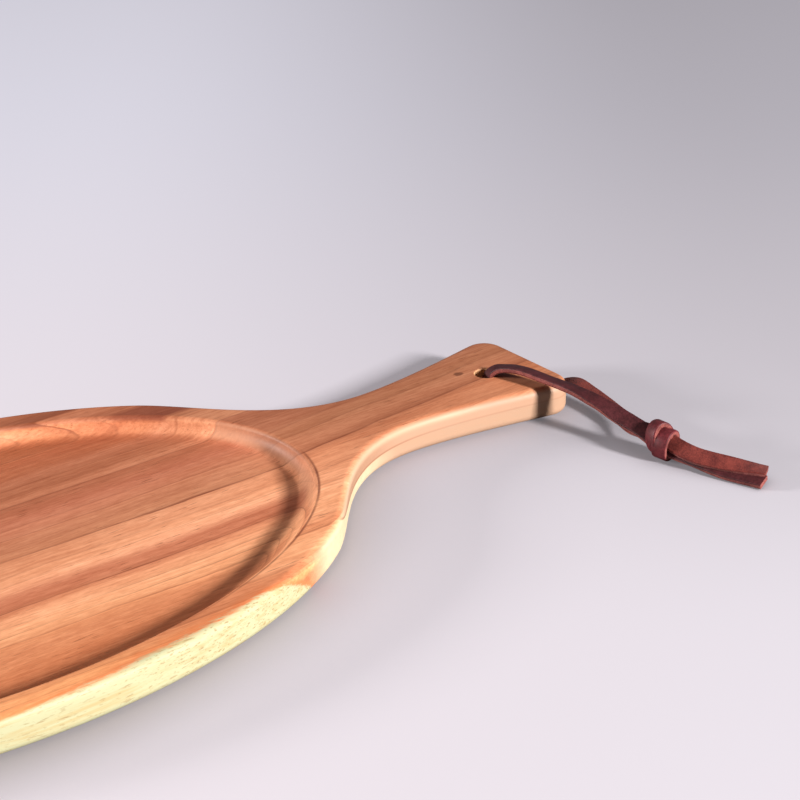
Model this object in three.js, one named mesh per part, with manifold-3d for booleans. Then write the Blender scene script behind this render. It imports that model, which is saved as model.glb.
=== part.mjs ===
import * as THREE from 'three';
import { mergeVertices } from 'three/addons/utils/BufferGeometryUtils.js';
import Module from 'manifold-3d';

// Oval serving tray of cherry-like wood with a flared handle and a leather hanging thong.
// Millimetres, +Z up. +X runs from the oval toward the handle's end, Y runs across the tray.
// The origin is the middle of the board's outline, on the surface that the board lies on.

const degrees = THREE.MathUtils.degToRad;

// Board outline.
const LENGTH = 400;
const BODY_LENGTH = 300;
const BODY_WIDTH = 183;
const THICKNESS = 12.5;
const EDGE_ROUND = 3;

// Neck and handle: the oval runs out into the neck, narrows to the waist and flares to the end.
const NECK_ANGLE = degrees(40);
const NECK_PULL = 20.3;
const WAIST_WIDTH = 31.7;
const WAIST_FROM_END = 68.8;
const WAIST_PULL_BODY = 35;
const WAIST_PULL_END = 20.5;
const END_WIDTH = 51.5;
const FLARE_ANGLE = degrees(7.5);
const FLARE_PULL = 5.3;
const CORNER_RADIUS = 8.3;

// Dish: a level floor, a round cove at its foot, a steep wall and an eased rim.
const RIM_AT_ENDS = 11.5;
const RIM_AT_SIDES = 9;
const DISH_DEPTH = 6.4;
const DISH_WALL = 6.6;
const DISH_ROLL = 1.6;

// The board is glued up from two staves: the joint runs along the tray, off its middle.
const GLUE_LINE = 28.3;

// Hole for the thong, and the shallow finger hollow under the handle's end that clears its lower run.
const HOLE_DIAMETER = 8;
const HOLE_FROM_END = 22;
const HOLE_EASE = 0.7;
const HOLLOW_LENGTH = 35;
const HOLLOW_WIDTH = 39;
const HOLLOW_WALL = 4;
const HOLLOW_ROLL = 1.4;

// Thong: one flat lace, doubled through the hole and tied in a knot.
const LACE_WIDTH = 6;
const LACE_THICKNESS = 2;
const LACE_EASE = 0.4;
const LACE_GAP = 0.3;
const KNOT_LENGTH = 11.4;
const KNOT_WIDTH = 11.6;
const KNOT_HEIGHT = 13.2;
const KNOT_LIFT = 0.2;
const THONG_HEADING = degrees(-74.5);

const bodyCentre = (BODY_LENGTH - LENGTH) / 2;
const endX = LENGTH / 2;
const holeX = endX - HOLE_FROM_END;
const hollowDepth = LACE_THICKNESS + 3 * LACE_GAP;

const wasm = await Module();
wasm.setup();

// Closed geometry to solid, and back.
function solid(geometry) {
  const bare = geometry.clone();
  bare.deleteAttribute('normal');
  bare.deleteAttribute('uv');
  const merged = mergeVertices(bare, 1e-4);
  return new wasm.Manifold(new wasm.Mesh({
    numProp: 3,
    vertProperties: new Float32Array(merged.attributes.position.array),
    triVerts: new Uint32Array(merged.index.array),
  }));
}

function toGeometry(body) {
  const mesh = body.getMesh();
  const geometry = new THREE.BufferGeometry();
  geometry.setAttribute('position', new THREE.BufferAttribute(new Float32Array(mesh.vertProperties), 3));
  geometry.setIndex(new THREE.BufferAttribute(new Uint32Array(mesh.triVerts), 1));
  geometry.computeVertexNormals();
  return geometry;
}

// One side of the handle, from where the neck leaves the oval to the middle of the handle's end.
function handleSide() {
  const a = BODY_LENGTH / 2;
  const b = BODY_WIDTH / 2;
  const leave = new THREE.Vector2(bodyCentre + a * Math.cos(NECK_ANGLE), b * Math.sin(NECK_ANGLE));
  const run = new THREE.Vector2(a * Math.sin(NECK_ANGLE), -b * Math.cos(NECK_ANGLE)).setLength(NECK_PULL);
  const waist = new THREE.Vector2(endX - WAIST_FROM_END, WAIST_WIDTH / 2);
  const flare = new THREE.Vector2(Math.cos(FLARE_ANGLE), Math.sin(FLARE_ANGLE));
  const reach = CORNER_RADIUS * Math.tan((Math.PI / 2 + FLARE_ANGLE) / 2);
  const corner = new THREE.Vector2(endX, END_WIDTH / 2);
  const turn = corner.clone().addScaledVector(flare, -reach);
  const neck = new THREE.CubicBezierCurve(
    leave,
    leave.clone().add(run),
    new THREE.Vector2(waist.x - WAIST_PULL_BODY, waist.y),
    waist,
  );
  const handle = new THREE.CubicBezierCurve(
    waist,
    new THREE.Vector2(waist.x + WAIST_PULL_END, waist.y),
    turn.clone().addScaledVector(flare, -FLARE_PULL),
    turn,
  );
  const round = new THREE.EllipseCurve(
    endX - CORNER_RADIUS,
    corner.y - reach,
    CORNER_RADIUS,
    CORNER_RADIUS,
    Math.PI / 2 + FLARE_ANGLE,
    0,
    true,
  );
  return [...neck.getPoints(18), ...handle.getPoints(14).slice(1), ...round.getPoints(10).slice(1)];
}

// Whole outline, counter-clockwise: the oval's long arc, then the two sides of the handle.
function outline() {
  const oval = new THREE.EllipseCurve(
    bodyCentre,
    0,
    BODY_LENGTH / 2,
    BODY_WIDTH / 2,
    NECK_ANGLE,
    2 * Math.PI - NECK_ANGLE,
  );
  const side = handleSide();
  const near = side.map((p) => new THREE.Vector2(p.x, -p.y));
  return new THREE.Shape([...oval.getPoints(88), ...near.slice(1), ...side.slice(1).reverse()]);
}

// Board blank with both edges rounded over.
function blank() {
  const geometry = new THREE.ExtrudeGeometry(outline(), {
    depth: THICKNESS - 2 * EDGE_ROUND,
    bevelThickness: EDGE_ROUND,
    bevelSize: EDGE_ROUND,
    bevelOffset: -EDGE_ROUND,
    bevelSegments: 4,
  });
  return solid(geometry.translate(0, 0, EDGE_ROUND));
}

// Oval dish hanging below z = 0, as a solid that reaches `above` over it. Its wall has the same width
// all round: a turned dish whose rings are all lengthened along X by the same amount.
function ovalDish({ halfLength, halfWidth, depth, wall, roll, above, sides }) {
  const slope = 2 * Math.atan2(depth, wall);
  const cove = wall / Math.sin(slope) - roll;
  const profile = [new THREE.Vector2(0, -depth)];
  for (let i = 0; i <= 5; i += 1) {
    const t = (slope * i) / 5;
    profile.push(new THREE.Vector2(
      halfWidth - wall + cove * Math.sin(t),
      -depth + cove * (1 - Math.cos(t)),
    ));
  }
  for (let i = 4; i >= 0; i -= 1) {
    const t = (slope * i) / 5;
    profile.push(new THREE.Vector2(halfWidth - roll * Math.sin(t), -roll * (1 - Math.cos(t))));
  }
  profile.push(new THREE.Vector2(halfWidth, above), new THREE.Vector2(0, above));
  const geometry = new THREE.LatheGeometry(profile, sides).rotateX(Math.PI / 2);
  const p = geometry.attributes.position;
  for (let i = 0; i < p.count; i += 1) {
    const r = Math.hypot(p.getX(i), p.getY(i));
    if (r > 1e-6) {
      p.setX(i, p.getX(i) * (1 + (halfLength - halfWidth) / r));
    }
  }
  return geometry;
}

// Hole through the handle, eased where it meets the top and the hollow.
function holeCut() {
  const r = HOLE_DIAMETER / 2;
  const wide = r + HOLE_EASE;
  const profile = [
    new THREE.Vector2(0, -1),
    new THREE.Vector2(wide, -1),
    new THREE.Vector2(wide, hollowDepth),
    new THREE.Vector2(r, hollowDepth + HOLE_EASE),
    new THREE.Vector2(r, THICKNESS - HOLE_EASE),
    new THREE.Vector2(wide, THICKNESS),
    new THREE.Vector2(wide, THICKNESS + 1),
    new THREE.Vector2(0, THICKNESS + 1),
  ];
  return new THREE.LatheGeometry(profile, 28).rotateX(Math.PI / 2).translate(holeX, 0, 0);
}

function board() {
  const dish = ovalDish({
    halfLength: BODY_LENGTH / 2 - RIM_AT_ENDS,
    halfWidth: BODY_WIDTH / 2 - RIM_AT_SIDES,
    depth: DISH_DEPTH,
    wall: DISH_WALL,
    roll: DISH_ROLL,
    above: 2,
    sides: 104,
  }).translate(bodyCentre, 0, THICKNESS);
  const hollow = ovalDish({
    halfLength: HOLLOW_LENGTH,
    halfWidth: HOLLOW_WIDTH / 2,
    depth: hollowDepth,
    wall: HOLLOW_WALL,
    roll: HOLLOW_ROLL,
    above: 2,
    sides: 48,
  }).rotateX(Math.PI).translate(endX, 0, 0);
  return blank().subtract(solid(dish)).subtract(solid(hollow)).subtract(solid(holeCut()));
}

// Everything on the near side of the glue line, a little larger than the board.
function nearOfGlueLine() {
  const depth = BODY_WIDTH;
  const box = new THREE.BoxGeometry(LENGTH + 20, depth, THICKNESS + 20);
  return solid(box.translate(0, GLUE_LINE - depth / 2, THICKNESS / 2));
}

// Flat lace along a route. Each stop is [x, y, z, heading, roll]: the lace lies level across its
// heading, and roll tips it toward its right-hand side. Rings of eight corners are joined and capped.
function lace(stops) {
  const route = new THREE.CatmullRomCurve3(stops.map((s) => new THREE.Vector3(s[0], s[1], s[2])));
  const spans = stops.length - 1;
  const steps = spans * 3;
  const w = LACE_WIDTH / 2;
  const t = LACE_THICKNESS / 2;
  const e = LACE_EASE;
  const section = [
    [w, t - e], [w - e, t], [e - w, t], [-w, t - e], [-w, e - t], [e - w, -t], [w - e, -t], [w, e - t],
  ];
  const positions = [];
  const index = [];
  for (let i = 0; i <= steps; i += 1) {
    const u = i / steps;
    const k = Math.min(Math.floor(u * spans), spans - 1);
    const f = u * spans - k;
    const heading = THREE.MathUtils.lerp(stops[k][3], stops[k + 1][3], f);
    const roll = THREE.MathUtils.lerp(stops[k][4], stops[k + 1][4], f);
    const centre = route.getPoint(u);
    const along = route.getTangent(u);
    const left = new THREE.Vector3(-Math.sin(heading), Math.cos(heading), 0);
    left.addScaledVector(along, -left.dot(along)).normalize().applyAxisAngle(along, roll);
    const up = new THREE.Vector3().crossVectors(along, left);
    section.forEach(([a, b]) => {
      const corner = centre.clone().addScaledVector(left, a).addScaledVector(up, b);
      positions.push(corner.x, corner.y, corner.z);
    });
  }
  for (let i = 0; i < steps; i += 1) {
    for (let j = 0; j < 8; j += 1) {
      const a = i * 8 + j;
      const b = i * 8 + ((j + 1) % 8);
      index.push(a, b, a + 8, b, b + 8, a + 8);
    }
  }
  for (let j = 1; j < 7; j += 1) {
    const last = steps * 8;
    index.push(0, j + 1, j, last, last + j, last + j + 1);
  }
  const geometry = new THREE.BufferGeometry();
  geometry.setAttribute('position', new THREE.BufferAttribute(new Float32Array(positions), 3));
  geometry.setIndex(index);
  geometry.computeVertexNormals();
  return geometry;
}

// One turn of lace in the knot: a rounded band, as wide as the lace, closed across its middle.
function turnOfLace(across, high, wide) {
  const profile = [new THREE.Vector2(0, -wide / 2)];
  for (let i = 0; i <= 6; i += 1) {
    const t = -Math.PI / 2 + (Math.PI * i) / 6;
    profile.push(new THREE.Vector2(1 - 0.3 * (1 - Math.cos(t)), (wide / 2) * Math.sin(t)));
  }
  profile.push(new THREE.Vector2(0, wide / 2));
  return new THREE.LatheGeometry(profile, 24).rotateZ(-Math.PI / 2).scale(1, across / 2, high / 2);
}

// Knot, its axis along X: one turn square to the thong on the tails' side, one slanted over its back.
function knot() {
  const square = turnOfLace(KNOT_WIDTH, KNOT_HEIGHT, LACE_WIDTH + 0.6);
  square.translate(KNOT_LENGTH / 2 - (LACE_WIDTH + 0.6) / 2, 0, 0);
  const slanted = turnOfLace(KNOT_WIDTH - 1.5, KNOT_HEIGHT - 1.2, LACE_WIDTH);
  slanted.rotateY(degrees(-24)).rotateZ(degrees(14)).translate(-KNOT_LENGTH / 2 + 4.2, 0, 0);
  return toGeometry(solid(square).add(solid(slanted)));
}

const cherry = new THREE.MeshStandardMaterial({ color: 0xd39a66, roughness: 0.55, metalness: 0 });
const redCherry = new THREE.MeshStandardMaterial({ color: 0xb9754a, roughness: 0.55, metalness: 0 });
const leather = new THREE.MeshStandardMaterial({ color: 0x553032, roughness: 0.7, metalness: 0 });

function part(name, geometry, material) {
  const mesh = new THREE.Mesh(geometry, material);
  mesh.name = name;
  return mesh;
}

const tray = new THREE.Group();
const glued = board();
const near = nearOfGlueLine();
tray.add(part('main_stave', toGeometry(glued.intersect(near)), cherry));
tray.add(part('far_stave', toGeometry(glued.subtract(near)), redCherry));

// The thong hangs from the hole: its stops are counted from the hole's axis and the table.
const thong = new THREE.Group();
thong.position.set(holeX, 0, 0);
tray.add(thong);

const top = THICKNESS;
const meet = top / 2;
const h = THONG_HEADING;
const under = degrees(-24);
const lift = KNOT_HEIGHT / 2 + KNOT_LIFT;
const low = LACE_THICKNESS / 2 + LACE_GAP;
const out = HOLE_FROM_END;
const beside = LACE_THICKNESS + LACE_GAP;

const upperRun = lace([
  [0, 0, meet + LACE_GAP / 2, h, 0],
  [0, 0, top - 1.8, h, 0],
  [0.6, -2.2, top + 2.1, h, 0],
  [2.1, -7.7, top + 4.9, h, degrees(-4)],
  [4.1, -14.9, top + 5.8, h, degrees(-5)],
  [7.2, -25.8, top + 4.7, h, degrees(4)],
  [9.9, -35.7, 16, h, degrees(20)],
  [12.7, -45.8, 13.9, h, degrees(40)],
  [15.1, -55, 10.9, h, degrees(49)],
  [16.9, -65.2, 8.2, h, degrees(46)],
]);
thong.add(part('thong_upper_run', upperRun, leather));

const lowerRun = lace([
  [0, 0, meet - LACE_GAP / 2, under, 0],
  [0, 0, hollowDepth + 0.6, under, 0],
  [2.6, -1.2, low + 0.2, under, 0],
  [out / 2, -4.9, low + 0.05, under, 0],
  [out + 0.8, -10.2, low + 0.08, degrees(-27), 0],
  [out + 5.2, -12.8, low + 2.4, degrees(-46), degrees(6)],
  [out + 7.1, -17.6, low + 5.3, degrees(-74), degrees(14)],
  [out + 7.1, -25, 7.1, degrees(-90), degrees(24)],
  [out + 6.8, -32, 6.4, degrees(-94), degrees(32)],
  [out + 6.1, -39.5, 5.7, degrees(-96), degrees(38)],
  [out + 4.6, -47.7, 5.8, degrees(-96), degrees(42)],
  [19.9 + beside, -56, 6.6, degrees(-88), degrees(45)],
  [16.85 + 1.45 * beside, -65.5, 7.8, h, degrees(46)],
]);
thong.add(part('thong_lower_run', lowerRun, leather));

const knotMesh = part('thong_knot', knot(), leather);
knotMesh.position.set(18.5, -72, lift);
knotMesh.rotation.z = h;
thong.add(knotMesh);

const upperTail = lace([
  [19.5, -78.3, 3.8 + 1.4 * beside, h, degrees(30)],
  [21.2, -85.6, 2.5 + 1.52 * beside, degrees(-70), degrees(24)],
  [25.2, -94.6, low + 1.52 * beside, degrees(-62), degrees(12)],
  [33.6, -107.9, low + 1.05 * beside, degrees(-57), 0],
]);
thong.add(part('thong_tail_upper', upperTail, leather));

const lowerTail = lace([
  [19, -78.4, 3.9, h, degrees(20)],
  [20.4, -86.8, 2.5, degrees(-76), degrees(12)],
  [23.2, -96, low + 0.1, degrees(-68), degrees(3)],
  [29.8, -110.2, low - 0.1, degrees(-65), 0],
]);
thong.add(part('thong_tail_lower', lowerTail, leather));

export default tray;
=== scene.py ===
"""Oval wooden serving tray with a flared handle and a knotted leather thong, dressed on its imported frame.

Metres, +Z up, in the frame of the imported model: +X runs toward the handle's end, the origin lies under the
middle of the board's outline.
"""

from __future__ import annotations

import logging
import math
from dataclasses import dataclass, replace
from enum import Enum
from functools import reduce
from typing import Callable, Sequence

import bmesh
import bpy
from mathutils import Matrix, Quaternion, Vector
from mathutils.geometry import interpolate_bezier


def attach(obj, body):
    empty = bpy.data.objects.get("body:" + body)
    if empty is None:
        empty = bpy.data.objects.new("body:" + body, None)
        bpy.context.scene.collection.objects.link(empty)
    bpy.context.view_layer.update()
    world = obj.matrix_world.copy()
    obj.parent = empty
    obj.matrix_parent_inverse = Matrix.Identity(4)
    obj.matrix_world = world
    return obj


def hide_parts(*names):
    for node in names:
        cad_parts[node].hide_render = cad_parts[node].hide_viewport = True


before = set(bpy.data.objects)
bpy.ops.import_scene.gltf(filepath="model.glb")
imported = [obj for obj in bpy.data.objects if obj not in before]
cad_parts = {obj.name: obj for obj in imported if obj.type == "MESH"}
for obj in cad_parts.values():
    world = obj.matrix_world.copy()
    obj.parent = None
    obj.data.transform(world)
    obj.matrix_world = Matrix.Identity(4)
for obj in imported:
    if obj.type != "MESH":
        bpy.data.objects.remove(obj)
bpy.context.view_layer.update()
LOG = logging.getLogger("tray")
MM = 0.001

Socket = bpy.types.NodeSocket
Place = tuple[Socket, Socket, Socket]
Colour = tuple[float, float, float, float]
Band = tuple[float, Colour]
Profile = Sequence[tuple[float, float]]
Stop = tuple[float, float, float, float, float]

# Where the figure of the wood finds the board's shapes, in millimetres: the oval's middle along X, the half
# sizes of the outline, of the dish's rim and of a ring on its wall, the board's top and the hole's axis.
OVAL_X = -50.0
OUTLINE_OVAL = (150.0, 91.5)
RIM_OVAL = (138.5, 82.5)
WALL_OVAL = (133.0, 77.0)
TOP_Z = 12.5
HOLE_X = 178.0

# Along X in millimetres: where the sapwood leaves the top, where the near side starts under its edge
# round, and how high a ring line runs on that side.
SAPWOOD_EDGE = (
    (-210.0, -86.0),
    (-110.0, -91.0),
    (-44.0, -90.4),
    (-28.0, -88.0),
    (-11.0, -86.0),
    (0.0, -84.2),
    (10.0, -82.3),
    (20.0, -80.2),
    (28.0, -80.6),
    (36.0, -84.5),
    (44.0, -90.5),
    (60.0, -106.0),
    (210.0, -109.0),
)
SIDE_EDGE = (
    (-210.0, -95.0),
    (20.0, -84.4),
    (40.0, -76.7),
    (60.0, -65.7),
    (70.0, -58.0),
    (76.0, -51.9),
    (82.0, -45.4),
    (88.0, -39.3),
    (94.0, -33.8),
    (100.0, -29.2),
    (106.0, -25.6),
    (112.0, -22.9),
    (124.0, -19.8),
    (136.0, -19.5),
    (160.0, -22.3),
    (190.0, -27.9),
    (210.0, -29.0),
)
SIDE_LINE = (
    (-210.0, 15.9),
    (58.0, 15.9),
    (67.0, 12.2),
    (72.0, 9.8),
    (78.0, 7.9),
    (86.0, 6.6),
    (100.0, 6.0),
    (120.0, 6.2),
    (140.0, 6.7),
    (210.0, 7.5),
)


class LaceSide(Enum):
    """The surfaces that a cut leather lace shows. The first three values are material slots; the last,
    a lighter grain for the knot's turns, is painted light.
    """

    GRAIN = 0
    FLESH = 1
    CUT = 2
    KNOT_LIT = 3


def seen(red: int, green: int, blue: int, level: float = 1.0) -> Colour:
    """Turn a display colour into the linear colour that shows it under a light of the given level.

    Args:
        red: Display value, 0 to 255.
        green: Display value, 0 to 255.
        blue: Display value, 0 to 255.
        level: Light on the surface, where 1 shows a colour as written.

    Returns:
        Linear red, green, blue and an alpha of 1.
    """
    parts = []
    for value in (red, green, blue):
        c = value / 255.0
        linear = c / 12.92 if c <= 0.04045 else ((c + 0.055) / 1.055) ** 2.4
        parts.append(min(linear / level, 1.0))
    return (parts[0], parts[1], parts[2], 1.0)


PORE_TONE = seen(112, 58, 32)
RING_TONE = seen(124, 58, 34)
GLUE_TONE = seen(118, 60, 38)
SIDE_STREAK_TONE = seen(249, 186, 147, 1.6)
SIDE_LINE_TONE = seen(150, 82, 50)
FRINGE_TONE = seen(228, 124, 72)
SAPWOOD_DOT_TONE = seen(156, 118, 72)
RIM_LINE_TONE = seen(112, 54, 36)
# Painted light for the wall of the thong's hole.
HOLE_WALL_LIGHT = seen(238, 178, 130)
PIN_KNOT_TONE = seen(92, 48, 30)
# Painted light: lightens the far wall of the dish.
FAR_WALL_PAINTED_LIGHT = (1.42, 1.72, 1.8, 1.0)
HANDLE_TINT = (0.82, 0.8, 0.78, 1.0)
HANDLE_NEAR_TINT = (0.76, 0.72, 0.7, 1.0)
# Painted shade for the floor along the dish wall's foot.
FOOT_SHADE_TINT = (0.66, 0.62, 0.6, 1.0)
# Painted shade toward the table's far right.
TABLE_MIDDLE_SHADE = (0.78, 0.77, 0.77, 1.0)


class Tree:
    """Short calls for building one material's node tree around a Principled shader."""

    def __init__(self, name: str) -> None:
        """Start an empty material with a Principled shader on its surface.

        Args:
            name: Name of the material.
        """
        self.material = bpy.data.materials.new(name)
        self.material.use_nodes = True
        self.nodes = self.material.node_tree.nodes
        self.links = self.material.node_tree.links
        self.nodes.clear()
        self.shader = self.nodes.new("ShaderNodeBsdfPrincipled")
        output = self.nodes.new("ShaderNodeOutputMaterial")
        self.links.new(self.shader.outputs["BSDF"], output.inputs["Surface"])

    def put(self, socket: Socket, value: object) -> None:
        """Link a socket to another, or set it to a constant.

        Args:
            socket: The input.
            value: A socket or a constant.
        """
        if isinstance(value, bpy.types.NodeSocket):
            self.links.new(value, socket)
        else:
            socket.default_value = value

    def node(self, kind: str, *values: object, **choices: str) -> bpy.types.Node:
        """Add a node, make its choices and fill its inputs in order.

        Args:
            kind: The node's type.
            values: Sockets or constants for its first inputs.
            choices: Its options by name.

        Returns:
            The node.
        """
        node = self.nodes.new(kind)
        for name, choice in choices.items():
            setattr(node, name, choice)
        for socket, value in zip(node.inputs, values):
            self.put(socket, value)
        return node

    def math(self, operation: str, a: object, b: object = 0.0, c: object = 0.0) -> Socket:
        """Add a Math node and give its result."""
        return self.node("ShaderNodeMath", a, b, c, operation=operation).outputs[0]

    def total(self, *terms: object) -> Socket:
        """Add several values together."""
        return reduce(lambda a, b: self.math("ADD", a, b), terms)

    def product(self, *factors: object) -> Socket:
        """Multiply several values together."""
        return reduce(lambda a, b: self.math("MULTIPLY", a, b), factors)

    def squared(self, value: Socket, centre: float, half: float) -> Socket:
        """Square a value's distance from a centre, as a share of half a width."""
        return self.math("POWER", self.math("DIVIDE", self.math("SUBTRACT", value, centre), half), 2.0)

    def oval(self, x: Socket, y: Socket, half: tuple[float, float]) -> Socket:
        """Measure how far out a point lies on an oval round the dish: 0 in its middle, 1 on the oval."""
        return self.math("SQRT", self.total(self.squared(x, OVAL_X, half[0]), self.squared(y, 0.0, half[1])))

    def smooth(
        self, value: Socket, low: object, high: object, to_low: object = 0.0, to_high: object = 1.0
    ) -> Socket:
        """Ease a value from one range to another, clamped at both ends."""
        values = (value, low, high, to_low, to_high)
        return self.node("ShaderNodeMapRange", *values, interpolation_type="SMOOTHSTEP").outputs[0]

    def linear(self, value: Socket, low: float, high: float, to_low: float, to_high: float) -> Socket:
        """Map a value straight from one range to another, clamped at both ends."""
        return self.node("ShaderNodeMapRange", value, low, high, to_low, to_high).outputs[0]

    def object_millimetres(self) -> Place:
        """Read the object's own coordinates.

        Returns:
            X, Y and Z in millimetres.
        """
        place = self.nodes.new("ShaderNodeTexCoord").outputs["Object"]
        scaled = self.node("ShaderNodeVectorMath", place, operation="SCALE")
        scaled.inputs["Scale"].default_value = 1.0 / MM
        split = self.node("ShaderNodeSeparateXYZ", scaled.outputs[0])
        return split.outputs[0], split.outputs[1], split.outputs[2]

    def vector(self, x: object, y: object, z: object) -> Socket:
        """Join three values into a vector."""
        return self.node("ShaderNodeCombineXYZ", x, y, z).outputs[0]

    def tint(self, colour: Socket, share: Socket) -> Socket:
        """Multiply a whole colour by one value."""
        return self.mix(1.0, colour, self.vector(share, share, share), "MULTIPLY")

    def stretched(self, place: Place, along: float, across: float, through: float | None = None) -> Socket:
        """Scale a place along, across and through the grain, the last as the second unless given."""
        scales = (along, across, across if through is None else through)
        return self.vector(*(self.math("MULTIPLY", value, scale) for value, scale in zip(place, scales)))

    def noise(self, vector: Socket, detail: float = 2.0, rough: float = 0.5) -> Socket:
        """Add a noise texture.

        Args:
            vector: Where the noise is read.
            detail: How many finer layers it has.
            rough: How strong the finer layers are.

        Returns:
            The noise, about 0 to 1.
        """
        node = self.node("ShaderNodeTexNoise", vector)
        for name, value in (("Scale", 1.0), ("Detail", detail), ("Roughness", rough)):
            node.inputs[name].default_value = value
        return node.outputs[0]

    def sway(self, vector: Socket, amount: float, detail: float = 2.0) -> Socket:
        """Add a noise that swings evenly to both sides of zero."""
        return self.math("MULTIPLY", self.math("SUBTRACT", self.noise(vector, detail), 0.5), amount)

    def mix(self, factor: object, a: object, b: object, blend: str = "MIX") -> Socket:
        """Mix two colours.

        Args:
            factor: Share of the second colour.
            a: First colour.
            b: Second colour.
            blend: How they are mixed.

        Returns:
            The mixed colour.
        """
        node = self.node("ShaderNodeMix", factor, data_type="RGBA", blend_type=blend)
        self.put(node.inputs[6], a)
        self.put(node.inputs[7], b)
        return node.outputs[2]

    def ramp(self, value: Socket, stops: Sequence[Band]) -> Socket:
        """Colour a value by stops.

        Args:
            value: The value.
            stops: Places in the value's own units, and their colours.

        Returns:
            The colour.
        """
        low, high = stops[0][0], stops[-1][0]
        node = self.node("ShaderNodeValToRGB", self.linear(value, low, high, 0.0, 1.0))
        elements = node.color_ramp.elements
        while len(elements) < len(stops):
            elements.new(0.5)
        for element, (place, colour) in zip(elements, stops):
            element.position = (place - low) / (high - low)
            element.color = colour
        return node.outputs[0]

    def curve(self, value: Socket, stops: Sequence[tuple[float, float]], low: float, high: float) -> Socket:
        """Follow a smooth curve through stops.

        Args:
            value: The value.
            stops: Places in the value's own units, and their results.
            low: Least result that the curve can give.
            high: Greatest result that the curve can give.

        Returns:
            The result.
        """
        first, last = stops[0][0], stops[-1][0]
        node = self.nodes.new("ShaderNodeFloatCurve")
        points = node.mapping.curves[0].points
        while len(points) < len(stops):
            points.new(0.5, 0.5)
        for point, (place, result) in zip(points, stops):
            point.location = ((place - first) / (last - first), (result - low) / (high - low))
        node.mapping.update()
        self.put(node.inputs["Value"], self.linear(value, first, last, 0.0, 1.0))
        return self.linear(node.outputs[0], 0.0, 1.0, low, high)

    def line(self, value: Socket, place: float, before: float, after: float) -> Socket:
        """Mark a thin line in a field: 1 at its place, easing out over its two sides."""
        rise, fall = self.smooth(value, place - before, place), self.smooth(value, place + after, place)
        return self.math("MULTIPLY", rise, fall)

    def bump(self, height: Socket, strength: float, distance: float) -> None:
        """Drive the shader's normal by a height field.

        Args:
            height: The height field.
            strength: How much of it shows.
            distance: Height of one unit of the field, in metres.
        """
        node = self.nodes.new("ShaderNodeBump")
        for name, value in (("Strength", strength), ("Distance", distance), ("Height", height)):
            self.put(node.inputs[name], value)
        self.put(self.shader.inputs["Normal"], node.outputs[0])


@dataclass(frozen=True)
class Spot:
    """Where a point of a stave lies, in millimetres, and what the wood's figure is there."""

    x: Socket
    y: Socket
    z: Socket
    grain: Place
    depth: Socket
    level: Socket
    field: Socket
    fibre: Socket
    pore: Socket
    facing: Socket


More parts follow.
